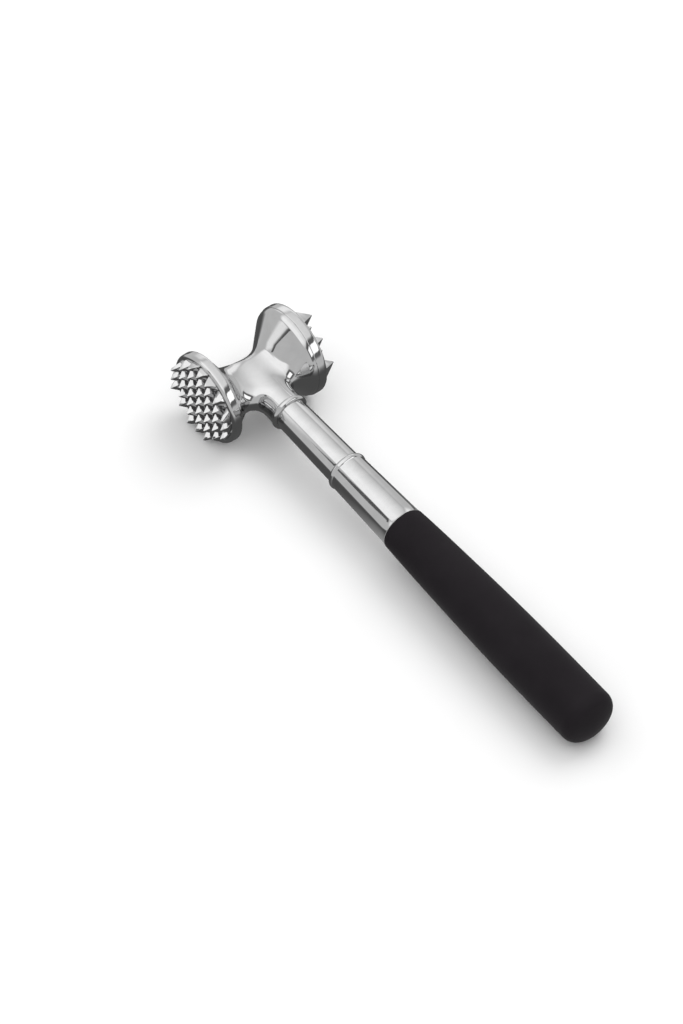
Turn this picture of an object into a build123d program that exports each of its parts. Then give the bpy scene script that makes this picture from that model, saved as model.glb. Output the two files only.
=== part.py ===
from build123d import *
import os
from math import asin, cos, radians, sin, sqrt

os.makedirs("parts", exist_ok=True)

# Double-faced meat mallet, lying on its two striking discs and the end of its grip.
# The row frame has +Z up, the handle along -Y and the coarse striking face on +X.

# ---------------------------------------------------------------- driving dimensions, mm
# Head: measured from the head centre along the head axis
DISC_R = 18.8              # outer radius of both striking discs
FINE_BACK = 18.0           # joint face between the head body and the fine disc
COARSE_BACK = 18.2         # joint face between the head body and the coarse disc
DISC_FRONT = 22.0          # plane at the bottom of the teeth
LIP_HEIGHT = 0.4           # plain lip that stands round the tooth field
LIP_WIDTH = 1.8
FRONT_EDGE_FILLET = 1.5    # rounding between the band of a disc and its lip
FINE_BACK_FILLET = 0.8
COARSE_BACK_FILLET = 0.25
SPIGOT_R = 7.0             # press-fit spigot behind each disc
SPIGOT_LENGTH = 6.0
WAIST_R = 5.8              # thinnest section of the head body
# Coarse side of the head body: concave sweep, straight 46 degree flank, convex rim
COARSE_SWEEP_R = 10.0
COARSE_FLANK_ANGLE = 46
COARSE_FLANK_LENGTH = 11.7
COARSE_RIM_R = 4.0
COARSE_RIM_TURN = 44
# Fine side of the head body: long shallow neck, tight sweep, steep flank, small rim
FINE_NECK_R = 30.0
FINE_NECK_TURN = 20
FINE_SWEEP_R = 6.0
FINE_SWEEP_TURN = 40
FINE_FLANK_LENGTH = 5.2
FINE_RIM_R = 1.6
FINE_RIM_TURN = 45
FINE_PITCH = 5.2
FINE_HEIGHT = 4.3
FINE_COLUMNS = 7
FINE_FIELD_R = 16.6        # farthest that a fine tooth tip stands from the head axis
COARSE_PITCH = 7.0
COARSE_HEIGHT = 6.4
COARSE_COLUMNS = 5
COARSE_FIELD_R = 14.6      # the same for the coarse teeth
TOOTH_VALLEY = 0.2         # flat strip left between neighbouring teeth
TOOTH_TIP = 0.3            # width of the blunted tip

# Handle: stations measured from the head centre along the handle axis
STEM_ROOT_R = 5.4          # neck of the casting inside the waist
STEM_R = 7.3               # neck of the casting at the front bead
STEM_BLEND_R = 5.0
# Web that fills the corners between the stem and the two sides of the head
WEB_HALF_THICKNESS = 5.6
WEB_EDGE_R = 4.6
WEB_HALF_WIDTH = 15.0
WEB_FRONT = 13.0           # front edge of the web, from the head axis
WEB_BACK = -2.0
WEB_ARCH_R = 7.3
WEB_STEM_R = 5.6           # half width of the web where its arches meet the stem
FRONT_BEAD_AT = 22.6
FRONT_BEAD_WIDTH = 2.4
FRONT_BEAD_R = 7.9
SHAFT_R_FRONT = 6.6        # front tube at the front bead
MIDDLE_BEAD_AT = 58.2
MIDDLE_BEAD_WIDTH = 2.4
MIDDLE_BEAD_R = 8.4
SHAFT_R_MIDDLE = 7.3       # front tube at the middle bead
SHAFT_R_STEPPED = 7.9      # rear tube at the middle bead
GRIP_AT = 94.0
SHAFT_R_REAR = 8.8
SHAFT_LIP_R = 9.15
SHAFT_FLARE_LENGTH = 3.0
SHAFT_WALL = 1.0
GRIP_LENGTH = 115.0
GRIP_R_FRONT = 9.2
GRIP_R_NECK = 10.3         # radius where the fingers start
GRIP_NECK_SHARE = 0.22     # share of the grip length from its front
GRIP_R_MIDDLE = 11.25
GRIP_MIDDLE_SHARE = 0.5
GRIP_R_MAX = 11.55
GRIP_MAX_SHARE = 0.72
GRIP_FRONT_SLOPE = 0.06    # rise of the side at the very front of the grip
GRIP_END_ROUNDING = 5.0    # radius of the rounding between the side and the domed end
GRIP_END_TURN = 68         # degrees that the rounding turns before the dome starts
GRIP_DOME_RISE = 1.8

# Hidden fastening
ROD_R = 3.0                # M6 tie rod
ROD_CLEARANCE = 0.15
END_GAP = 0.15             # axial play at the bottom of the sockets
ROD_THREAD_START = 8.0     # tip of the rod in the head casting
ROD_CHAMFER = 0.6
NUT_FLATS = 10.0
NUT_HEIGHT = 5.0
WASHER_R = 6.0
WASHER_THICKNESS = 1.6
CORE_END = 192.0           # rear end of the hard core inside the grip
NUT_POCKET_DEPTH = 12.0
NUT_POCKET_R = 6.4
CORE_R_FRONT = 8.0
CORE_R_REAR = 9.6
JOINT_SPIGOT_LENGTH = 6.0  # spigots of the beads and of the core inside the tubes
FIT_GAP = 0.05             # radial gap of the pressed joints

# ---------------------------------------------------------------- reference planes
GRIP_END = GRIP_AT + GRIP_LENGTH
GRIP_SUPPORT_AT = GRIP_END - GRIP_DOME_RISE - GRIP_END_ROUNDING * sin(radians(GRIP_END_TURN))
TILT = asin((DISC_R - GRIP_R_MAX) / GRIP_SUPPORT_AT)
DOME_RIM_R = GRIP_R_MAX - GRIP_END_ROUNDING * (1 - cos(radians(GRIP_END_TURN)))
DOME_R = (DOME_RIM_R ** 2 + GRIP_DOME_RISE ** 2) / (2 * GRIP_DOME_RISE)
HANDLE_REACH = (GRIP_END - DOME_R) * cos(TILT) + DOME_R
FINE_REACH = DISC_FRONT + FINE_HEIGHT
COARSE_REACH = DISC_FRONT + COARSE_HEIGHT
HEAD_CENTRE = Vector((FINE_REACH - COARSE_REACH) / 2, (HANDLE_REACH - DISC_R) / 2, DISC_R)
HANDLE_DIRECTION = Vector(0, -cos(TILT), -sin(TILT))

# ACROSS: local x runs along the head axis, local y is the radius around it, local z is the handle.
ACROSS = Plane(origin=HEAD_CENTRE, x_dir=(1, 0, 0), z_dir=HANDLE_DIRECTION)
# ALONG: local x runs along the handle, local y is the radius around it.
ALONG = Plane(origin=HEAD_CENTRE, x_dir=HANDLE_DIRECTION, z_dir=(-1, 0, 0))
HEAD_AXIS = Axis(HEAD_CENTRE, (1, 0, 0))
HANDLE_AXIS = Axis(HEAD_CENTRE, HANDLE_DIRECTION)


def shaft_radius(station):
    """Outer radius of the conical chrome shaft at a distance from the head centre."""
    share = (station - FRONT_BEAD_AT) / (MIDDLE_BEAD_AT - FRONT_BEAD_AT)
    if station > MIDDLE_BEAD_AT:
        share = (station - MIDDLE_BEAD_AT) / (GRIP_AT - SHAFT_FLARE_LENGTH - MIDDLE_BEAD_AT)
        return SHAFT_R_STEPPED + share * (SHAFT_R_REAR - SHAFT_R_STEPPED)
    return SHAFT_R_FRONT + share * (SHAFT_R_MIDDLE - SHAFT_R_FRONT)


def write_part(part, name):
    """Label one finished piece and write its STEP file."""
    part.label = name
    export_step(part, f"parts/{name}.step")


# ---------------------------------------------------------------- head casting
SHAFT_BORE_FRONT = SHAFT_R_FRONT - SHAFT_WALL
SHAFT_BORE_MIDDLE = SHAFT_R_MIDDLE - SHAFT_WALL
SHAFT_BORE_STEPPED = SHAFT_R_STEPPED - SHAFT_WALL
STEM_SOCKET_R = 5.0
ROD_HOLE_R = ROD_R + ROD_CLEARANCE

MIDPLANE = Plane(origin=HEAD_CENTRE, x_dir=(1, 0, 0), z_dir=HANDLE_DIRECTION.cross(Vector(1, 0, 0)))
arch_end = WEB_FRONT + WEB_ARCH_R
arch_side = WEB_STEM_R + WEB_ARCH_R
arch_middle = (
    arch_side - WEB_ARCH_R * cos(radians(45)),
    arch_end - WEB_ARCH_R * sin(radians(45)),
)
with BuildPart() as web:
    with BuildSketch(MIDPLANE):
        with BuildLine():
            Polyline(
                (-WEB_STEM_R, -arch_end),
                (WEB_STEM_R, -arch_end),
            )
            right_arch = ThreePointArc(
                (WEB_STEM_R, -arch_end),
                (arch_middle[0], -arch_middle[1]),
                (arch_side, -WEB_FRONT),
            )
            Polyline(
                (arch_side, -WEB_FRONT),
                (WEB_HALF_WIDTH, -WEB_FRONT),
                (WEB_HALF_WIDTH, -WEB_BACK),
                (-WEB_HALF_WIDTH, -WEB_BACK),
                (-WEB_HALF_WIDTH, -WEB_FRONT),
                (-arch_side, -WEB_FRONT),
            )
            left_arch = ThreePointArc(
                (-arch_side, -WEB_FRONT),
                (-arch_middle[0], -arch_middle[1]),
                (-WEB_STEM_R, -arch_end),
            )
        make_face()
    extrude(amount=WEB_HALF_THICKNESS, both=True)
    fillet(web.edges().filter_by(GeomType.CIRCLE), radius=WEB_EDGE_R)

with BuildPart() as head_body:
    with BuildSketch(ACROSS):
        with BuildLine():
            coarse_sweep = JernArc((0, WAIST_R), (1, 0), COARSE_SWEEP_R, COARSE_FLANK_ANGLE)
            coarse_flank = PolarLine(coarse_sweep @ 1, COARSE_FLANK_LENGTH, COARSE_FLANK_ANGLE)
            coarse_rim = JernArc(coarse_flank @ 1, coarse_flank % 1, COARSE_RIM_R, -COARSE_RIM_TURN)
            fine_neck = JernArc((0, WAIST_R), (-1, 0), FINE_NECK_R, -FINE_NECK_TURN)
            fine_sweep = JernArc(fine_neck @ 1, fine_neck % 1, FINE_SWEEP_R, -FINE_SWEEP_TURN)
            fine_flank = PolarLine(
                fine_sweep @ 1,
                FINE_FLANK_LENGTH,
                180 - FINE_NECK_TURN - FINE_SWEEP_TURN,
            )
            fine_rim = JernArc(fine_flank @ 1, fine_flank % 1, FINE_RIM_R, FINE_RIM_TURN)
            Polyline(
                coarse_rim @ 1,
                (COARSE_BACK, (coarse_rim @ 1).Y),
                (COARSE_BACK, 0),
                (-FINE_BACK, 0),
                (-FINE_BACK, (fine_rim @ 1).Y),
                fine_rim @ 1,
            )
        make_face()
    revolve(axis=HEAD_AXIS)
    with BuildSketch(ALONG):
        with BuildLine():
            Polyline(
                (0, 0),
                (0, STEM_ROOT_R),
                (FRONT_BEAD_AT, STEM_R),
                (FRONT_BEAD_AT, 0),
                close=True,
            )
        make_face()
    revolve(axis=HANDLE_AXIS)
    junction = head_body.edges().filter_by(GeomType.BSPLINE)
    fillet(junction, radius=STEM_BLEND_R)
    add(web.part)
    with BuildSketch(ACROSS.offset(FRONT_BEAD_AT)):
        Circle(STEM_SOCKET_R + FIT_GAP)
    extrude(amount=-JOINT_SPIGOT_LENGTH, mode=Mode.SUBTRACT)
    with BuildSketch(ACROSS.offset(FRONT_BEAD_AT)):
        Circle(ROD_R + FIT_GAP)
    extrude(amount=ROD_THREAD_START - FRONT_BEAD_AT, mode=Mode.SUBTRACT)
    for side, back in ((-1, FINE_BACK), (1, COARSE_BACK)):
        disc_seat = Plane(origin=HEAD_CENTRE + Vector(side * back, 0, 0), z_dir=(side, 0, 0))
        with BuildSketch(disc_seat):
            Circle(SPIGOT_R + FIT_GAP)
        extrude(amount=-SPIGOT_LENGTH, mode=Mode.SUBTRACT)
write_part(head_body.part, "head_body")


# ---------------------------------------------------------------- toothed discs
def build_tooth(pitch, height):
    """One four-sided pyramid with a slightly blunted tip, standing on the XY plane."""
    with BuildPart() as tooth:
        with BuildSketch():
            Rectangle(pitch - TOOTH_VALLEY, pitch - TOOTH_VALLEY)
        with BuildSketch(Plane.XY.offset(height)):
            Rectangle(TOOTH_TIP, TOOTH_TIP)
        loft()
    return tooth.part


def tooth_centres(pitch, columns, field_r):
    """Square grid of teeth whose tips lie inside a circle."""
    middle = (columns - 1) / 2
    grid = [(column - middle, row - middle) for column in range(columns) for row in range(columns)]
    return [(x * pitch, y * pitch) for x, y in grid if Vector(x, y).length * pitch <= field_r]


def build_tooth_disc(side, back, back_fillet, pitch, height, columns, field_r):
    """Striking disc with its press-fit spigot; side is -1 or +1 along the head axis."""
    face = Plane(
        origin=HEAD_CENTRE + Vector(side * DISC_FRONT, 0, 0),
        x_dir=HANDLE_DIRECTION,
        z_dir=(side, 0, 0),
    )
    spigot_end = back - SPIGOT_LENGTH + END_GAP
    lip_top = DISC_FRONT + LIP_HEIGHT
    lip_inner_r = DISC_R - LIP_WIDTH
    outline = [
        (spigot_end, 0),
        (spigot_end, SPIGOT_R),
        (back, SPIGOT_R),
        (back, DISC_R),
        (lip_top, DISC_R),
        (lip_top, lip_inner_r),
        (DISC_FRONT, lip_inner_r),
        (DISC_FRONT, 0),
    ]
    tooth = build_tooth(pitch, height)
    with BuildPart() as teeth:
        with Locations(face):
            with Locations(*tooth_centres(pitch, columns, field_r)):
                add(tooth)
        with BuildSketch(face):
            Circle(lip_inner_r)
        extrude(amount=height, mode=Mode.INTERSECT)
    with BuildPart() as disc:
        with BuildSketch(ACROSS):
            with BuildLine():
                Polyline([(side * station, radius) for station, radius in outline], close=True)
            make_face()
        revolve(axis=HEAD_AXIS)
        band_edges = disc.edges().filter_by(GeomType.CIRCLE).group_by(SortBy.RADIUS)[-1]
        back_edge, front_edge = band_edges.sort_by(Axis(HEAD_CENTRE, (side, 0, 0)))
        fillet(front_edge, radius=FRONT_EDGE_FILLET)
        fillet(back_edge, radius=back_fillet)
        add(teeth.part)
    return disc.part


fine_tooth_disc = build_tooth_disc(
    -1, FINE_BACK, FINE_BACK_FILLET, FINE_PITCH, FINE_HEIGHT, FINE_COLUMNS, FINE_FIELD_R
)
write_part(fine_tooth_disc, "fine_tooth_disc")
coarse_tooth_disc = build_tooth_disc(
    1,
    COARSE_BACK,
    COARSE_BACK_FILLET,
    COARSE_PITCH,
    COARSE_HEIGHT,
    COARSE_COLUMNS,
    COARSE_FIELD_R,
)
write_part(coarse_tooth_disc, "coarse_tooth_disc")


# ---------------------------------------------------------------- chrome shaft and its beads
def build_turned_piece(outline, bead=None):
    """Piece turned round the handle axis from (station, radius) points; bead adds a half-round rib
    that runs through three such points."""
    with BuildPart() as turned:
        with BuildSketch(ALONG):
            with BuildLine():
                Polyline(*outline, close=True)
            make_face()
            if bead is not None:
                with BuildLine():
                    ThreePointArc(*bead)
                    Line(bead[2], bead[0])
                make_face()
        revolve(axis=HANDLE_AXIS)
    return turned.part


front_bead_end = FRONT_BEAD_AT + FRONT_BEAD_WIDTH
front_bead_rib = [
    (FRONT_BEAD_AT, STEM_R),
    (FRONT_BEAD_AT + FRONT_BEAD_WIDTH / 2, FRONT_BEAD_R),
    (front_bead_end, shaft_radius(front_bead_end)),
]
front_bead_ring = build_turned_piece(
    [
        (FRONT_BEAD_AT - JOINT_SPIGOT_LENGTH + END_GAP, ROD_HOLE_R),
        (FRONT_BEAD_AT - JOINT_SPIGOT_LENGTH + END_GAP, STEM_SOCKET_R),
        (FRONT_BEAD_AT, STEM_SOCKET_R),
        front_bead_rib[0],
        front_bead_rib[2],
        (front_bead_end, SHAFT_BORE_FRONT - FIT_GAP),
        (front_bead_end + JOINT_SPIGOT_LENGTH, SHAFT_BORE_FRONT - FIT_GAP),
        (front_bead_end + JOINT_SPIGOT_LENGTH, ROD_HOLE_R),
    ],
    front_bead_rib,
)
write_part(front_bead_ring, "front_bead_ring")

front_shaft = build_turned_piece(
    [
        (front_bead_end, shaft_radius(front_bead_end) - SHAFT_WALL),
        (front_bead_end, shaft_radius(front_bead_end)),
        (MIDDLE_BEAD_AT, SHAFT_R_MIDDLE),
        (MIDDLE_BEAD_AT, SHAFT_BORE_MIDDLE),
    ]
)
write_part(front_shaft, "front_shaft")

middle_bead_end = MIDDLE_BEAD_AT + MIDDLE_BEAD_WIDTH
middle_bead_rib = [
    (MIDDLE_BEAD_AT, SHAFT_R_MIDDLE),
    (MIDDLE_BEAD_AT + MIDDLE_BEAD_WIDTH / 2, MIDDLE_BEAD_R),
    (middle_bead_end, shaft_radius(middle_bead_end)),
]
middle_spigot_front = MIDDLE_BEAD_AT - JOINT_SPIGOT_LENGTH
middle_spigot_r = shaft_radius(middle_spigot_front) - SHAFT_WALL - FIT_GAP
middle_bead_ring = build_turned_piece(
    [
        (middle_spigot_front, ROD_HOLE_R),
        (middle_spigot_front, middle_spigot_r),
        (MIDDLE_BEAD_AT, middle_spigot_r),
        middle_bead_rib[0],
        middle_bead_rib[2],
        (middle_bead_end, SHAFT_BORE_STEPPED - FIT_GAP),
        (middle_bead_end + JOINT_SPIGOT_LENGTH, SHAFT_BORE_STEPPED - FIT_GAP),
        (middle_bead_end + JOINT_SPIGOT_LENGTH, ROD_HOLE_R),
    ],
    middle_bead_rib,
)
write_part(middle_bead_ring, "middle_bead_ring")

flare_start = GRIP_AT - SHAFT_FLARE_LENGTH
REAR_BORE_R = SHAFT_R_REAR - SHAFT_WALL
with BuildPart() as rear_shaft:
    with BuildSketch(ALONG):
        with BuildLine():
            outer = Line((middle_bead_end, middle_bead_rib[2][1]), (flare_start, SHAFT_R_REAR))
            flare = TangentArc(outer @ 1, (GRIP_AT, SHAFT_LIP_R), tangent=outer % 1)
            Polyline(
                flare @ 1,
                (GRIP_AT, REAR_BORE_R),
                (flare_start, REAR_BORE_R),
                (middle_bead_end, SHAFT_BORE_STEPPED),
                outer @ 0,
            )
        make_face()
    revolve(axis=HANDLE_AXIS)
write_part(rear_shaft.part, "rear_shaft")

# ---------------------------------------------------------------- tie rod, washer and nut
NUT_SEAT = CORE_END - NUT_POCKET_DEPTH
nut_at = NUT_SEAT + WASHER_THICKNESS
rod_end = nut_at + NUT_HEIGHT + ROD_CHAMFER * 2

with BuildPart() as tie_rod:
    with BuildSketch(ACROSS.offset(ROD_THREAD_START + END_GAP)):
        Circle(ROD_R)
    extrude(amount=rod_end - ROD_THREAD_START - END_GAP)
    chamfer(tie_rod.edges().filter_by(GeomType.CIRCLE), length=ROD_CHAMFER)
write_part(tie_rod.part, "tie_rod")

with BuildPart() as washer:
    with BuildSketch(ACROSS.offset(NUT_SEAT)):
        Circle(WASHER_R)
        Circle(ROD_HOLE_R, mode=Mode.SUBTRACT)
    extrude(amount=WASHER_THICKNESS)
write_part(washer.part, "washer")

with BuildPart() as nut:
    with BuildSketch(ACROSS.offset(nut_at)):
        RegularPolygon(radius=NUT_FLATS / 2, side_count=6, major_radius=False)
        Circle(ROD_R + FIT_GAP, mode=Mode.SUBTRACT)
    extrude(amount=NUT_HEIGHT)
write_part(nut.part, "nut")

# ---------------------------------------------------------------- grip core and grip sleeve
core_spigot_start = GRIP_AT - JOINT_SPIGOT_LENGTH
core_spigot_r = shaft_radius(core_spigot_start) - SHAFT_WALL - FIT_GAP
grip_core = build_turned_piece(
    [
        (core_spigot_start, ROD_HOLE_R),
        (core_spigot_start, core_spigot_r),
        (GRIP_AT, core_spigot_r),
        (GRIP_AT, CORE_R_FRONT),
        (CORE_END, CORE_R_REAR),
        (CORE_END, NUT_POCKET_R),
        (NUT_SEAT, NUT_POCKET_R),
        (NUT_SEAT, ROD_HOLE_R),
    ]
)
write_part(grip_core, "grip_core")

with BuildPart() as grip:
    with BuildSketch(ALONG):
        with BuildLine():
            swell = Spline(
                (GRIP_AT, GRIP_R_FRONT),
                (GRIP_AT + GRIP_NECK_SHARE * GRIP_LENGTH, GRIP_R_NECK),
                (GRIP_AT + GRIP_MIDDLE_SHARE * GRIP_LENGTH, GRIP_R_MIDDLE),
                (GRIP_AT + GRIP_MAX_SHARE * GRIP_LENGTH, GRIP_R_MAX),
                (GRIP_SUPPORT_AT, GRIP_R_MAX),
                tangents=[(1, GRIP_FRONT_SLOPE), (1, 0)],
            )
            rounding = JernArc(swell @ 1, (1, 0), GRIP_END_ROUNDING, -GRIP_END_TURN)
            dome_middle = sqrt(DOME_R ** 2 - (DOME_RIM_R / 2) ** 2) - DOME_R
            dome = ThreePointArc(
                rounding @ 1,
                (GRIP_END + dome_middle, DOME_RIM_R / 2),
                (GRIP_END, 0),
            )
            Polyline(
                dome @ 1,
                (CORE_END, 0),
                (CORE_END, CORE_R_REAR + FIT_GAP),
                (GRIP_AT, CORE_R_FRONT + FIT_GAP),
                swell @ 0,
            )
        make_face()
    revolve(axis=HANDLE_AXIS)
write_part(grip.part, "grip")
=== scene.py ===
from math import asin, cos, pi, radians, sin, sqrt

import bmesh
import bpy
import numpy as np
from mathutils import Matrix, Vector


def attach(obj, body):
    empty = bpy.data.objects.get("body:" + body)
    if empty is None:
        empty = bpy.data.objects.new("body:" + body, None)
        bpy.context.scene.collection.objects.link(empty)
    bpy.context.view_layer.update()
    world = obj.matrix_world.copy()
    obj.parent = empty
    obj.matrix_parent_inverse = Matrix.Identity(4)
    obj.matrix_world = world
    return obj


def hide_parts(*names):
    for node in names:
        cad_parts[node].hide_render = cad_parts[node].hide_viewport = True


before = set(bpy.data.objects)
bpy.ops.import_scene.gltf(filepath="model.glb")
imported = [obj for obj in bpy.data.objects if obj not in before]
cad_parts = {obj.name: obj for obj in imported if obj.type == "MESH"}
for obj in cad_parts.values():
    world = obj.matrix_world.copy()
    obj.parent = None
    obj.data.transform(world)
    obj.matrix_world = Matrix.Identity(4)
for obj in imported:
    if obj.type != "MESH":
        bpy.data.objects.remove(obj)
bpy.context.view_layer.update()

MM = 0.001
VOXEL = 0.3
SMOOTHING_PASSES = 6
FITTING_PASSES = 8
ARC_STEPS = 28

# ------------------------------------------------------------ sizes, mm (the same as the CAD)
DISC_R = 18.8
DISC_FRONT = 22.0
LIP_HEIGHT = 0.4
LIP_WIDTH = 1.8
EDGE_R = 1.5
LIP_EDGE_R = 0.12
LIP_FOOT_R = 0.15
DISC_BORE_R = 4
FINE = {"side": -1, "back": 18.0, "back_r": 0.8, "pitch": 5.2, "height": 4.3, "columns": 7, "field": 16.6}
COARSE = {"side": 1, "back": 18.2, "back_r": 0.25, "pitch": 7.0, "height": 6.4, "columns": 5, "field": 14.6}
TOOTH_VALLEY = 0.2
TOOTH_TIP = 0.3
TOOTH_SUNK = 0.3  # depth of a tooth's foot below the disc face
TOOTH_BEVEL = 0.1
WAIST_R = 5.8
COARSE_FLANK = [("bend", 10, 46), ("line", 11.7), ("bend", 4, -44), ("line", 2)]
FINE_FLANK = [("bend", 30, 20), ("bend", 6, 40), ("line", 5.2), ("bend", 1.6, -45), ("line", 2)]
STEM_ROOT_R = 5.4
STEM_R = 7.3
STEM_BLEND = 3.0
SADDLE_BLEND = 6.0
WEB_HALF_THICKNESS = 5.6
WEB_HALF_WIDTH = 15.0
WEB_FRONT = 13.0
WEB_BACK = -2.0
WEB_ARCH_R = 7.3
WEB_STEM_R = 5.6
FRONT_BEAD_AT = 22.6
MIDDLE_BEAD_AT = 58.2
BEAD_WIDTH = 2.4
FRONT_BEAD_R = 7.9
MIDDLE_BEAD_R = 8.4
SHAFT_R_FRONT = 6.6
SHAFT_R_MIDDLE = 7.3
SHAFT_R_STEPPED = 7.9
SHAFT_R_REAR = 8.8
SHAFT_LIP_R = 9.15
FLARE = 3.0
GRIP_AT = 94.0
GRIP_LENGTH = 115.0
GRIP_R_MAX = 11.55
GRIP_SHARES = [0, 0.22, 0.5, 0.72]  # where the grip radii are given, as shares of its length
GRIP_RADII = [9.2, 10.3, 11.25, GRIP_R_MAX, GRIP_R_MAX]
GRIP_FRONT_SLOPE = 0.06
GRIP_BORE_R = 7.75
GRIP_ROUNDING = 5.0
GRIP_TURN_DEGREES = 68
GRIP_TURN = radians(GRIP_TURN_DEGREES)
GRIP_DOME_RISE = 1.8

GRIP_END = GRIP_AT + GRIP_LENGTH
SUPPORT_AT = GRIP_END - GRIP_DOME_RISE - GRIP_ROUNDING * sin(GRIP_TURN)
TILT = asin((DISC_R - GRIP_R_MAX) / SUPPORT_AT)
DOME_RIM_R = GRIP_R_MAX - GRIP_ROUNDING * (1 - cos(GRIP_TURN))
DOME_R = (DOME_RIM_R**2 + GRIP_DOME_RISE**2) / (2 * GRIP_DOME_RISE)
HANDLE_REACH = (GRIP_END - DOME_R) * cos(TILT) + DOME_R
CENTRE = Vector(((FINE["height"] - COARSE["height"]) / 2, (HANDLE_REACH - DISC_R) / 2, DISC_R))

# Local frame: x along the head axis, y towards the front of the head, z up; the handle runs along -y.
LOCAL = Matrix.Translation(CENTRE * MM) @ Matrix.Rotation(TILT, 4, "X") @ Matrix.Scale(MM, 4)


# ------------------------------------------------------------ mesh helpers
def add_object(name, bm, sharp=32):
    """Object from a bmesh given in the local frame; edges that turn more than sharp degrees stay crisp."""
    bmesh.ops.recalc_face_normals(bm, faces=bm.faces)
    for edge in bm.edges:
        edge.smooth = edge.calc_face_angle(0) < radians(sharp)
    for face in bm.faces:
        face.smooth = True
    bm.transform(LOCAL)
    mesh = bpy.data.meshes.new(name)
    bm.to_mesh(mesh)
    bm.free()
    obj = bpy.data.objects.new(name, mesh)
    bpy.context.scene.collection.objects.link(obj)
    return obj


def arc(centre, radius, start, end, steps=ARC_STEPS):
    """Points of an arc in the (station, radius) plane; angles in degrees."""
    angles = np.radians(np.linspace(start, end, steps + 1))
    return [(centre[0] + radius * cos(a), centre[1] + radius * sin(a)) for a in angles]


def rounded(points, steps=8):
    """Polyline with corners rounded: each point is (station, radius, corner radius)."""
    path = []
    count = len(points)
    for i, (x, y, r) in enumerate(points):
        corner = Vector((x, y))
        if r == 0 or i in (0, count - 1):
            path.append((x, y))
            continue
        back = (Vector(points[i - 1][:2]) - corner).normalized()
        ahead = (Vector(points[i + 1][:2]) - corner).normalized()
        half = back.angle(ahead) / 2
        reach = r / np.tan(half)
        middle = corner + (back + ahead).normalized() * (r / sin(half))
        first = corner + back * reach - middle
        last = corner + ahead * reach - middle
        for k in range(steps + 1):
            share = k / steps
            ray = first.slerp(last, share) if first.angle(last) > 1e-6 else first
            path.append(tuple(middle + ray.normalized() * r))
    return path


def dense(points, step=0.7):
    """The same polyline with long straights divided."""
    path = [points[0]]
    for a, b in zip(points, points[1:]):
        parts = max(1, int(np.hypot(b[0] - a[0], b[1] - a[1]) / step))
        path += [(a[0] + (b[0] - a[0]) * k / parts, a[1] + (b[1] - a[1]) * k / parts) for k in range(1, parts + 1)]
    return path


def lathe(bm, outline, axis, segments=240):
    """Adds the surface that an outline of (station, radius) sweeps round the handle or the head axis."""
    rings = []
    for station, radius in outline:
        ring = []
        for k in range(segments):
            turn = 2 * pi * k / segments
            u, v = radius * cos(turn), radius * sin(turn)
            ring.append(bm.verts.new((station, u, v) if axis == "head" else (u, -station, v)))
        rings.append(ring)
    for near, far in zip(rings, rings[1:]):
        for k in range(segments):
            j = (k + 1) % segments
            bm.faces.new((near[k], near[j], far[j], far[k]))
    bmesh.ops.remove_doubles(bm, verts=bm.verts, dist=1e-4)


def turned(name, outline):
    """Closed piece turned round the handle axis."""
    bm = bmesh.new()
    lathe(bm, dense(outline + outline[:1]), "handle")
    return add_object(name, bm)


def shaft_radius(station):
    """Outer radius of the conical shaft."""
    if station > MIDDLE_BEAD_AT:
        share = (station - MIDDLE_BEAD_AT) / (GRIP_AT - FLARE - MIDDLE_BEAD_AT)
        return SHAFT_R_STEPPED + share * (SHAFT_R_REAR - SHAFT_R_STEPPED)
    share = (station - FRONT_BEAD_AT) / (MIDDLE_BEAD_AT - FRONT_BEAD_AT)
    return SHAFT_R_FRONT + share * (SHAFT_R_MIDDLE - SHAFT_R_FRONT)


# ------------------------------------------------------------ head body
def walk(start, heading, moves, steps=160):
    """Profile of straight runs ("line", length) and bends ("bend", radius, turn) from a point and a heading."""
    x, y = start
    points = [(x, y)]
    for move in moves:
        if move[0] == "line":
            x += move[1] * cos(radians(heading))
            y += move[1] * sin(radians(heading))
            points.append((x, y))
            continue
        radius, turn = move[1:]
        for _ in range(steps):
            middle = heading + turn / steps / 2
            chord = 2 * radius * sin(radians(abs(turn) / steps / 2))
            x += chord * cos(radians(middle))
            y += chord * sin(radians(middle))
            heading += turn / steps
            points.append((x, y))
    return np.array(points)


# The flanks rise from the waist to the two discs; a short moving average softens where their runs meet.
coarse_side = walk((0, WAIST_R), 0, COARSE_FLANK)
fine_side = walk((0, WAIST_R), 0, FINE_FLANK)
profile = np.vstack([fine_side[::-1] * (-1, 1), coarse_side[1:]])
even = np.linspace(profile[0, 0], profile[-1, 0], 3000)
SOFTENING = 20  # samples on each side of the moving average
profile_r = np.interp(even, profile[:, 0], profile[:, 1])
kernel = np.hanning(2 * SOFTENING + 1) / np.hanning(2 * SOFTENING + 1).sum()
profile_r = np.convolve(np.pad(profile_r, SOFTENING, mode="edge"), kernel, mode="valid")
slope = np.gradient(profile_r, even)


def smooth_union(a, b, size):
    """Smaller of two distances with the corner between them filled."""
    mix = np.clip(0.5 + 0.5 * (b - a) / size, 0, 1)
    return b * (1 - mix) + a * mix - size * mix * (1 - mix)


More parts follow.
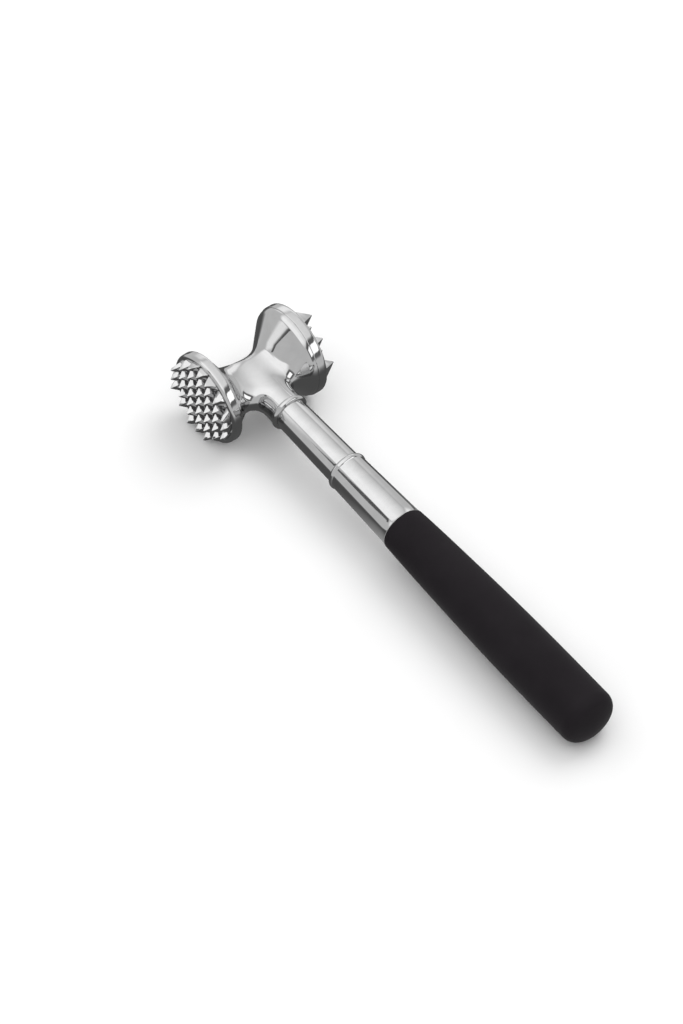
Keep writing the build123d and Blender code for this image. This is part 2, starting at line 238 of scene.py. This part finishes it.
def head_field(p):
    """Smooth union of the waisted saddle, the web and the stem; zero on the surface, p in local mm."""
    around = np.hypot(p[:, 1], p[:, 2])
    saddle = (around - np.interp(p[:, 0], even, profile_r)) / np.sqrt(1 + np.interp(p[:, 0], even, slope) ** 2)
    station = -p[:, 1]
    stem_r = STEM_ROOT_R + (STEM_R - STEM_ROOT_R) * np.clip(station / FRONT_BEAD_AT, 0, 1.2)
    stem = np.maximum(np.hypot(p[:, 0], p[:, 2]) - stem_r, -station - 1)
    across = np.abs(p[:, 0])
    to_arch = np.hypot(
        np.maximum(WEB_STEM_R + WEB_ARCH_R - across, 0), np.maximum(WEB_FRONT + WEB_ARCH_R - station, 0)
    )
    edge = np.maximum(WEB_ARCH_R - to_arch, np.maximum(across - WEB_HALF_WIDTH, WEB_BACK - station))
    web = np.hypot(np.maximum(edge + WEB_HALF_THICKNESS, 0), p[:, 2]) - WEB_HALF_THICKNESS
    return smooth_union(smooth_union(web, stem, STEM_BLEND), saddle, SADDLE_BLEND)


def field_slope(p, step=0.04):
    """Gradient of the head field."""
    columns = []
    for axis in range(3):
        shift = np.zeros(3)
        shift[axis] = step
        columns.append((head_field(p + shift) - head_field(p - shift)) / (2 * step))
    return np.stack(columns, axis=1)


def build_head_body():
    """Closed tubes are fused, remeshed finely and drawn onto the smooth surface.

    The open ends hide in the discs and in the front bead.
    """
    bm = bmesh.new()
    reach = COARSE["back"] + 1.2
    stations = np.linspace(-reach, reach, 90)
    saddle = [(s, float(np.interp(s, even, profile_r))) for s in stations]
    lathe(bm, [(-reach, 0)] + saddle + [(reach, 0)], "head", 96)
    lathe(bm, [(1, 0), (1, 6), (FRONT_BEAD_AT + 1.2, STEM_R), (FRONT_BEAD_AT + 1.2, 0)], "handle", 96)
    block = bmesh.ops.create_cube(bm, size=1)["verts"]
    bmesh.ops.scale(bm, verts=block, vec=(2 * WEB_HALF_WIDTH - 2, WEB_FRONT - 1, 2 * WEB_HALF_THICKNESS - 1.5))
    bmesh.ops.translate(bm, verts=block, vec=(0, -(WEB_FRONT - 1) / 2, 0))
    bmesh.ops.recalc_face_normals(bm, faces=bm.faces)
    rough = bpy.data.meshes.new("head_rough")
    bm.to_mesh(rough)
    bm.free()
    holder = bpy.data.objects.new("head_rough", rough)
    bpy.context.scene.collection.objects.link(holder)
    remesh = holder.modifiers.new("remesh", "REMESH")
    remesh.mode = "VOXEL"
    remesh.voxel_size = VOXEL
    shape = bpy.data.meshes.new_from_object(holder.evaluated_get(bpy.context.evaluated_depsgraph_get()))
    bpy.data.objects.remove(holder)
    bm = bmesh.new()
    bm.from_mesh(shape)
    for _ in range(SMOOTHING_PASSES):
        bmesh.ops.smooth_vert(bm, verts=bm.verts, factor=0.5, use_axis_x=True, use_axis_y=True, use_axis_z=True)
    outside = []
    for v in bm.verts:
        past_disc = abs(v.co.x) > COARSE["back"] + 0.45
        past_bead = -v.co.y > FRONT_BEAD_AT + 0.5 and abs(v.co.x) < 9
        if past_disc or past_bead:
            outside.append(v)
    bmesh.ops.delete(bm, geom=outside, context="VERTS")
    mesh = bpy.data.meshes.new("head_body_skin")
    bm.to_mesh(mesh)
    bm.free()
    p = np.empty(len(mesh.vertices) * 3)
    mesh.vertices.foreach_get("co", p)
    p = p.reshape(-1, 3)
    for _ in range(FITTING_PASSES):
        g = field_slope(p)
        p -= (head_field(p) / (g**2).sum(axis=1))[:, None] * g
    g = field_slope(p)
    normals = g / np.linalg.norm(g, axis=1)[:, None]
    turn = np.array(LOCAL.to_3x3() * (1 / MM))
    world = p @ np.array(LOCAL.to_3x3()).T + np.array(LOCAL.translation)
    mesh.vertices.foreach_set("co", world.ravel())
    mesh.polygons.foreach_set("use_smooth", np.ones(len(mesh.polygons), dtype=bool))
    mesh.update()
    mesh.normals_split_custom_set_from_vertices((normals @ turn.T).tolist())
    obj = bpy.data.objects.new("head_body_skin", mesh)
    bpy.context.scene.collection.objects.link(obj)
    return obj


# ------------------------------------------------------------ toothed discs
CORNERS = ((-1, -1), (1, -1), (1, 1), (-1, 1))


def add_tooth(bm, x, y, face, kind):
    """One bevelled pyramid at (x, y) on the disc face, cut back where it would pass the lip."""
    half = (kind["pitch"] - TOOTH_VALLEY) / 2
    tip = TOOTH_TIP / 2
    side = kind["side"]
    one = bmesh.new()

    def square(reach, z):
        return [one.verts.new((x + sx * reach, y + sy * reach, z)) for sx, sy in CORNERS]

    low = square(half, -TOOTH_SUNK)
    base = square(half, 0)
    top = square(tip, kind["height"])
    one.faces.new(top)
    one.faces.new(low[::-1])
    for k in range(4):
        j = (k + 1) % 4
        one.faces.new((base[k], base[j], top[j], top[k]))
        one.faces.new((low[k], low[j], base[j], base[k]))
    lip_r = DISC_R - LIP_WIDTH
    reach = sqrt(x * x + y * y)
    if reach + half * 1.42 > lip_r:
        bearing = np.arctan2(y, x)
        for offset in (-12, -6, 0, 6, 12):
            turn = bearing + radians(offset)
            out = Vector((cos(turn), sin(turn), 0))
            whole = one.verts[:] + one.edges[:] + one.faces[:]
            cut = bmesh.ops.bisect_plane(one, geom=whole, plane_co=out * lip_r, plane_no=out, clear_outer=True)
            rim = [e for e in cut["geom_cut"] if isinstance(e, bmesh.types.BMEdge)]
            if rim:
                bmesh.ops.holes_fill(one, edges=rim)
    ridges = [e for e in one.edges if e.verts[0].co.z + e.verts[1].co.z > 0.4 and e.calc_face_angle(0) > 0.3]
    bmesh.ops.bevel(one, geom=ridges, offset=TOOTH_BEVEL, segments=2, profile=0.5, affect="EDGES", clamp_overlap=True)
    for v in one.verts:
        v.co = (side * (face + v.co.z), v.co.x, v.co.y)
    mesh = bpy.data.meshes.new("tooth")
    one.to_mesh(mesh)
    one.free()
    bm.from_mesh(mesh)
    bpy.data.meshes.remove(mesh)


def build_disc(name, kind):
    """Striking disc: rounded band, low lip and the field of teeth."""
    side = kind["side"]
    lip_r = DISC_R - LIP_WIDTH
    outline = rounded(
        [
            (kind["back"], DISC_BORE_R, 0),
            (kind["back"], DISC_R, kind["back_r"]),
            (DISC_FRONT + LIP_HEIGHT, DISC_R, EDGE_R),
            (DISC_FRONT + LIP_HEIGHT, lip_r, LIP_EDGE_R),
            (DISC_FRONT, lip_r, LIP_FOOT_R),
            (DISC_FRONT, 0, 0),
        ]
    )
    bm = bmesh.new()
    lathe(bm, [(side * s, r) for s, r in dense(outline)], "head", 288)
    centre_tooth = (kind["columns"] - 1) / 2
    for column in range(kind["columns"]):
        for row in range(kind["columns"]):
            x = (column - centre_tooth) * kind["pitch"]
            y = (row - centre_tooth) * kind["pitch"]
            if sqrt(x * x + y * y) <= kind["field"]:
                add_tooth(bm, x, y, DISC_FRONT, kind)
    for face in bm.faces:
        middle = face.calc_center_median()
        if abs(middle.x) > DISC_FRONT - 0.2 and np.hypot(middle.y, middle.z) < lip_r - 0.02:
            face.material_index = 1
    return add_object(name, bm, sharp=40)


head_skin = build_head_body()
fine_disc = build_disc("fine_disc_skin", FINE)
coarse_disc = build_disc("coarse_disc_skin", COARSE)


# ------------------------------------------------------------ beads, shafts and grip
def build_bead(name, at, front_r, bead_r):
    """Half-round rib through three points, with a short hidden neck under it."""
    end = at + BEAD_WIDTH
    points = [(at, front_r), (at + BEAD_WIDTH / 2, bead_r), (end, shaft_radius(end))]
    rows = [[2 * x, 2 * r, 1] for x, r in points]
    x, r, rest = np.linalg.solve(rows, [p[0] ** 2 + p[1] ** 2 for p in points])
    radius = sqrt(rest + x**2 + r**2)
    first = np.degrees(np.arctan2(points[0][1] - r, points[0][0] - x))
    last = np.degrees(np.arctan2(points[2][1] - r, points[2][0] - x))
    rib = arc((x, r), radius, first % 360, last)
    return turned(name, rib + [(end, shaft_radius(end) - 1), (at, shaft_radius(end) - 1)])


front_bead = build_bead("front_bead_skin", FRONT_BEAD_AT, STEM_R, FRONT_BEAD_R)
middle_bead = build_bead("middle_bead_skin", MIDDLE_BEAD_AT, SHAFT_R_MIDDLE, MIDDLE_BEAD_R)

front_from = FRONT_BEAD_AT + BEAD_WIDTH
front_tube = turned(
    "front_shaft_skin",
    rounded(
        [
            (front_from, shaft_radius(front_from) - 1, 0),
            (front_from, shaft_radius(front_from), 0.1),
            (MIDDLE_BEAD_AT, SHAFT_R_MIDDLE, 0.1),
            (MIDDLE_BEAD_AT, SHAFT_R_MIDDLE - 1, 0),
        ]
    ),
)

rear_from = MIDDLE_BEAD_AT + BEAD_WIDTH
rise = (SHAFT_R_REAR - SHAFT_R_STEPPED) / (GRIP_AT - FLARE - MIDDLE_BEAD_AT)
flare_start = GRIP_AT - FLARE
flare = []
for k in range(1, 17):
    share = k / 16
    lift = SHAFT_LIP_R - SHAFT_R_REAR - rise * FLARE
    flare.append((flare_start + share * FLARE, SHAFT_R_REAR + rise * FLARE * share + lift * share**2))
rear_tube = turned(
    "rear_shaft_skin",
    [(rear_from, shaft_radius(rear_from) - 1), (rear_from, shaft_radius(rear_from)), (flare_start, SHAFT_R_REAR)]
    + flare[:-1]
    + [(GRIP_AT - 0.15, SHAFT_LIP_R - 0.02), (GRIP_AT - 0.04, SHAFT_LIP_R - 0.08), (GRIP_AT, SHAFT_LIP_R - 0.2)]
    + [(GRIP_AT, SHAFT_R_REAR - 1)],
)

grip_at = np.array(GRIP_SHARES + [(SUPPORT_AT - GRIP_AT) / GRIP_LENGTH]) * GRIP_LENGTH + GRIP_AT
grip_radii = np.array(GRIP_RADII)


def hermite(x, xs, ys, first, last):
    """Smooth curve through points with given end slopes (natural tangents between)."""
    n = len(xs)
    h = np.diff(xs)
    a = np.zeros((n, n))
    b = np.zeros(n)
    a[0, 0] = a[-1, -1] = 1
    b[0], b[-1] = first, last
    for i in range(1, n - 1):
        a[i, i - 1], a[i, i], a[i, i + 1] = 1 / h[i - 1], 2 * (1 / h[i - 1] + 1 / h[i]), 1 / h[i]
        b[i] = 3 * ((ys[i] - ys[i - 1]) / h[i - 1] ** 2 + (ys[i + 1] - ys[i]) / h[i] ** 2)
    m = np.linalg.solve(a, b)
    i = np.clip(np.searchsorted(xs, x) - 1, 0, n - 2)
    t = (x - xs[i]) / h[i]
    return (
        (2 * t**3 - 3 * t**2 + 1) * ys[i]
        + (t**3 - 2 * t**2 + t) * h[i] * m[i]
        + (3 * t**2 - 2 * t**3) * ys[i + 1]
        + (t**3 - t**2) * h[i] * m[i + 1]
    )


side_at = np.linspace(GRIP_AT, SUPPORT_AT, 140)
side = list(zip(side_at, hermite(side_at, grip_at, grip_radii, GRIP_FRONT_SLOPE, 0)))
side[0] = (GRIP_AT + 0.01, side[0][1] - 0.25)
side.insert(1, (GRIP_AT + 0.08, side[1][1] - 0.14))
side.insert(2, (GRIP_AT + 0.3, side[2][1] - 0.03))
turn_down = arc((SUPPORT_AT, GRIP_R_MAX - GRIP_ROUNDING), GRIP_ROUNDING, 90, 90 - GRIP_TURN_DEGREES)[1:]
dome = []
for k in range(1, 41):
    r = DOME_RIM_R * (1 - k / 40)
    dome.append((GRIP_END - DOME_R + sqrt(DOME_R**2 - r**2), r))
bm = bmesh.new()
lathe(bm, [(GRIP_AT + 0.01, GRIP_BORE_R)] + side + turn_down + dome, "handle")
grip_skin = add_object("grip_skin", bm)


# ------------------------------------------------------------ materials
class Nodes:
    """Short way to build a node tree."""

    def __init__(self, name):
        self.material = bpy.data.materials.new(name)
        self.material.use_nodes = True
        self.tree = self.material.node_tree
        self.tree.nodes.clear()
        self.out = self.tree.nodes.new("ShaderNodeOutputMaterial")
        self.shader = self.tree.nodes.new("ShaderNodeBsdfPrincipled")
        self.link(self.shader.outputs[0], self.out.inputs["Surface"])
        where = self.tree.nodes.new("ShaderNodeTexCoord")
        scale = self.tree.nodes.new("ShaderNodeMapping")
        scale.inputs["Scale"].default_value = (1000, 1000, 1000)
        self.link(where.outputs["Object"], scale.inputs["Vector"])
        self.mm = scale.outputs["Vector"]

    def link(self, a, b):
        self.tree.links.new(a, b)

    def noise(self, scale, detail=3, roughness=0.5, stretch=None, distortion=0):
        node = self.tree.nodes.new("ShaderNodeTexNoise")
        node.inputs["Scale"].default_value = scale
        node.inputs["Detail"].default_value = detail
        node.inputs["Roughness"].default_value = roughness
        node.inputs["Distortion"].default_value = distortion
        source = self.mm
        if stretch:
            squeeze = self.tree.nodes.new("ShaderNodeMapping")
            squeeze.inputs["Scale"].default_value = stretch[:3]
            squeeze.inputs["Rotation"].default_value = stretch[3:]
            self.link(source, squeeze.inputs["Vector"])
            source = squeeze.outputs["Vector"]
        self.link(source, node.inputs["Vector"])
        return node.outputs[0]

    def spread(self, source, low, high, start=0.3, end=0.7):
        node = self.tree.nodes.new("ShaderNodeMapRange")
        node.inputs["From Min"].default_value = start
        node.inputs["From Max"].default_value = end
        node.inputs["To Min"].default_value = low
        node.inputs["To Max"].default_value = high
        self.link(source, node.inputs["Value"])
        return node.outputs["Result"]

    def add(self, a, b, operation="ADD"):
        node = self.tree.nodes.new("ShaderNodeMath")
        node.operation = operation
        for socket, value in zip(node.inputs, (a, b)):
            if isinstance(value, (int, float)):
                socket.default_value = value
            else:
                self.link(value, socket)
        return node.outputs[0]

    def tint(self, source, first, last, start=0.3, end=0.7):
        node = self.tree.nodes.new("ShaderNodeValToRGB")
        node.color_ramp.elements[0].position = start
        node.color_ramp.elements[1].position = end
        node.color_ramp.elements[0].color = (*first, 1)
        node.color_ramp.elements[1].color = (*last, 1)
        self.link(source, node.inputs[0])
        self.link(node.outputs[0], self.shader.inputs["Base Color"])

    def bump(self, source, height, after=None):
        node = self.tree.nodes.new("ShaderNodeBump")
        node.inputs["Distance"].default_value = height * MM
        node.inputs["Strength"].default_value = 1.0
        self.link(source, node.inputs["Height"])
        if after is not None:
            self.link(after, node.inputs["Normal"])
        return node.outputs[0]

    def finish(self, roughness, normal, metallic=0.0):
        self.link(roughness, self.shader.inputs["Roughness"])
        self.link(normal, self.shader.inputs["Normal"])
        self.shader.inputs["Metallic"].default_value = metallic
        return self.material


CHROME_DARK = (0.57, 0.57, 0.572)
CHROME_LIGHT = (0.63, 0.63, 0.632)


def chrome(name, low, high, ripple, grain):
    """Plated metal: faint smears, hair scratches and a little unevenness."""
    n = Nodes(name)
    smear = n.noise(0.12, 4, 0.6, distortion=0.8)
    hair = n.noise(3.0, 2, 0.5, stretch=(9, 0.5, 9, 0.2, 0.1, 0.5))
    cross = n.noise(3.0, 2, 0.5, stretch=(0.6, 8, 8, 0.5, 0.3, 0.9))
    scratch = n.add(n.spread(hair, 0, 1, 0.68, 0.75), n.spread(cross, 0, 1, 0.7, 0.77), "MAXIMUM")
    n.tint(smear, CHROME_DARK, CHROME_LIGHT)
    rough = n.add(n.spread(smear, low, high), n.add(scratch, 0.06, "MULTIPLY"))
    wave = n.bump(n.noise(0.35, 2, 0.4), ripple)
    fine = n.bump(n.noise(5.0, 3, 0.5), grain, after=wave)
    return n.finish(rough, fine, 1.0)


mirror = chrome("chrome_mirror", 0.03, 0.09, 0.004, 0.0004)
cast = chrome("chrome_cast_teeth", 0.16, 0.30, 0.02, 0.004)

n = Nodes("soft_grip")
patch = n.noise(0.06, 4, 0.55)
n.tint(patch, (0.0125, 0.0105, 0.0125), (0.0165, 0.0142, 0.0165))
speck = n.noise(6.0, 4, 0.6)
orange = n.bump(speck, 0.02)
lint = n.spread(n.noise(1.6, 5, 0.7), 0, 1, 0.62, 0.8)
rubber_rough = n.add(n.spread(patch, 0.50, 0.60), n.add(lint, 0.08, "MULTIPLY"))
soft_grip = n.finish(rubber_rough, orange)
n.shader.inputs["Specular IOR Level"].default_value = 0.06

n = Nodes("zinc_steel")
grain = n.noise(1.2, 4, 0.6)
n.tint(grain, (0.45, 0.45, 0.46), (0.62, 0.62, 0.63))
zinc = n.finish(n.spread(grain, 0.32, 0.5), n.bump(grain, 0.02), 1.0)

n = Nodes("core_plastic")
grain = n.noise(1.0, 4, 0.6)
n.tint(grain, (0.02, 0.02, 0.022), (0.035, 0.035, 0.037))
core = n.finish(n.spread(grain, 0.55, 0.7), n.bump(grain, 0.03))

pieces = [
    (head_skin, "head_body", mirror, "chrome"),
    (fine_disc, "fine_tooth_disc", mirror, "chrome"),
    (coarse_disc, "coarse_tooth_disc", mirror, "chrome"),
    (front_bead, "front_bead_ring", mirror, "chrome"),
    (front_tube, "front_shaft", mirror, "chrome"),
    (middle_bead, "middle_bead_ring", mirror, "chrome"),
    (rear_tube, "rear_shaft", mirror, "chrome"),
    (grip_skin, "grip", soft_grip, "grip_rubber"),
]
for obj, node, material, slot in pieces:
    obj.data.materials.clear()
    obj.data.materials.append(material)
    if node.endswith("tooth_disc"):
        obj.data.materials.append(cast)
    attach(obj, "root")
    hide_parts(node)
for node, material in (("tie_rod", zinc), ("washer", zinc), ("nut", zinc), ("grip_core", core)):
    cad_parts[node].data.materials.clear()
    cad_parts[node].data.materials.append(material)

# ------------------------------------------------------------ floor, light and camera
bm = bmesh.new()
bmesh.ops.create_grid(bm, x_segments=8, y_segments=8, size=3)
mesh = bpy.data.meshes.new("floor")
bm.to_mesh(mesh)
bm.free()
floor = bpy.data.objects.new("floor", mesh)
bpy.context.scene.collection.objects.link(floor)
floor.visible_glossy = False
n = Nodes("pale_floor")
paper = n.noise(0.02, 3, 0.5)
n.tint(paper, (0.90, 0.90, 0.90), (0.92, 0.92, 0.92))
mesh.materials.append(n.finish(n.spread(paper, 0.75, 0.85), n.bump(n.noise(2.0, 3, 0.5), 0.01)))


GLOW_RAMP = (-0.21, 0.29)  # where the glow of a ramped card starts and stops to change, as shares of its width


def card(name, place, size, strength, fade, turn=None, far_strength=None, diffuse=True):
    """Glowing or dark studio card, size in metres, that the camera doesn't see. It lies flat or faces a point.

    fade is how much of it melts into the room at its -x, +x, -y and +y edges; far_strength is its glow at +x.
    """
    bm = bmesh.new()
    bmesh.ops.create_grid(bm, x_segments=2, y_segments=2, size=0.5)
    mesh = bpy.data.meshes.new(name)
    bm.to_mesh(mesh)
    bm.free()
    obj = bpy.data.objects.new(name, mesh)
    obj.location = place
    obj.scale = (size[0], size[1], 1)
    if turn is not None:
        obj.rotation_euler = (Vector(turn) - Vector(place)).to_track_quat("Z", "Y").to_euler()
    bpy.context.scene.collection.objects.link(obj)
    obj.visible_camera = False
    obj.visible_shadow = False
    obj.visible_diffuse = diffuse
    material = bpy.data.materials.new(name)
    material.use_nodes = True
    tree = material.node_tree
    tree.nodes.clear()
    out = tree.nodes.new("ShaderNodeOutputMaterial")
    glow = tree.nodes.new("ShaderNodeEmission")
    where = tree.nodes.new("ShaderNodeTexCoord")
    split = tree.nodes.new("ShaderNodeSeparateXYZ")
    tree.links.new(where.outputs["Object"], split.inputs[0])

    def ramp(source, start, end, low, high, smooth=True):
        node = tree.nodes.new("ShaderNodeMapRange")
        node.interpolation_type = "SMOOTHSTEP" if smooth else "LINEAR"
        for key, value in (("From Min", start), ("From Max", end), ("To Min", low), ("To Max", high)):
            node.inputs[key].default_value = value
        tree.links.new(source, node.inputs["Value"])
        return node.outputs["Result"]

    cover = None
    for k in (0, 1):
        for edge, part in ((-0.5, fade[2 * k]), (0.5, fade[2 * k + 1])):
            level = ramp(split.outputs[k], edge, edge - part if edge > 0 else edge + part, 0, 1)
            if cover is not None:
                both = tree.nodes.new("ShaderNodeMath")
                both.operation = "MULTIPLY"
                tree.links.new(cover, both.inputs[0])
                tree.links.new(level, both.inputs[1])
                level = both.outputs[0]
            cover = level
    if far_strength is None:
        glow.inputs["Strength"].default_value = strength
    else:
        change = ramp(split.outputs[0], *GLOW_RAMP, strength, far_strength, False)
        tree.links.new(change, glow.inputs["Strength"])
    clear = tree.nodes.new("ShaderNodeBsdfTransparent")
    blend = tree.nodes.new("ShaderNodeMixShader")
    tree.links.new(cover, blend.inputs[0])
    tree.links.new(clear.outputs[0], blend.inputs[1])
    tree.links.new(glow.outputs[0], blend.inputs[2])
    tree.links.new(blend.outputs[0], out.inputs["Surface"])
    mesh.materials.append(material)
    return obj


HEAD_POINT = (-0.008, 0.085, 0.015)
card("top_box", (0.34, 0.25, 1.15), (2.85, 3.0), 1.38, (0.06, 0.3, 0.25, 0.2), far_strength=0.75)
for name, place, size, strength, fade, turn in (
    ("side_flag", (-0.207, 0.170, 0.18), (0.034, 0.09), 0.12, (0.05, 0.05, 0.1, 0.1), (0, 0.02, 0.02)),
    ("saddle_light", (0.25, 0.385, 0.15), (0.42, 0.29), 1.3, (0.3, 0.3, 0.35, 0.35), (0, 0.095, 0.03)),
    ("bell_light", (-0.145, 0.205, 0.115), (0.11, 0.12), 1.2, (0.35, 0.35, 0.35, 0.35), (0.018, 0.095, 0.03)),
    # dark sheet on the floor under the mallet that only glossy rays see: painted shade standing in for the shaded
    # ground mirrored in the chrome's lower sides
    ("ground_shade_flag", (-0.01, 0.10, 0.0004), (0.26, 0.26), 0.10, (0.25, 0.25, 0.3, 0.25), None),
    ("front_dark", (0.245, -0.42, 0.345), (1.15, 0.62), 0.16, (0.15, 0.15, 0.15, 0.15), HEAD_POINT),
    ("front_light", (0.226, -0.377, 0.32), (0.62, 0.24), 1.7, (0.06, 0.06, 0.1, 0.1), HEAD_POINT),
):
    card(name, place, size, strength, fade, turn, diffuse=False)

fill = bpy.data.lights.new("fill", "AREA")
fill.shape = "DISK"
fill.size = 0.9
fill.energy = 5.5
fill_place = Vector((0.75, 0.15, 1.1))
fill_light = bpy.data.objects.new("fill", fill)
fill_light.location = fill_place
fill_light.rotation_euler = (-fill_place).to_track_quat("-Z", "Y").to_euler()
fill_light.visible_glossy = False
bpy.context.scene.collection.objects.link(fill_light)

world = bpy.data.worlds.new("studio")
world.use_nodes = True
world.node_tree.nodes["Background"].inputs[0].default_value = (1.0, 1.0, 1.0, 1)
world.node_tree.nodes["Background"].inputs[1].default_value = 0.7
bpy.context.scene.world = world
bpy.context.scene.view_settings.view_transform = "Standard"

ELEVATION = radians(49.5)
SIDE = radians(52.5)
DISTANCE = 3.0
AIM_RIGHT = 0.0341
AIM_DOWN = 0.0525
right = Vector((sin(SIDE), -cos(SIDE), 0))
look = Vector((cos(ELEVATION) * cos(SIDE), cos(ELEVATION) * sin(SIDE), -sin(ELEVATION)))
up = right.cross(look)
camera_data = bpy.data.cameras.new("camera")
camera_data.lens = 279
camera_data.clip_end = 20
camera = bpy.data.objects.new("camera", camera_data)
aim = CENTRE * MM + right * AIM_RIGHT - up * AIM_DOWN
camera.matrix_world = Matrix.Translation(aim - look * DISTANCE) @ Matrix((right, up, -look)).transposed().to_4x4()
bpy.context.scene.collection.objects.link(camera)
bpy.context.scene.camera = camera
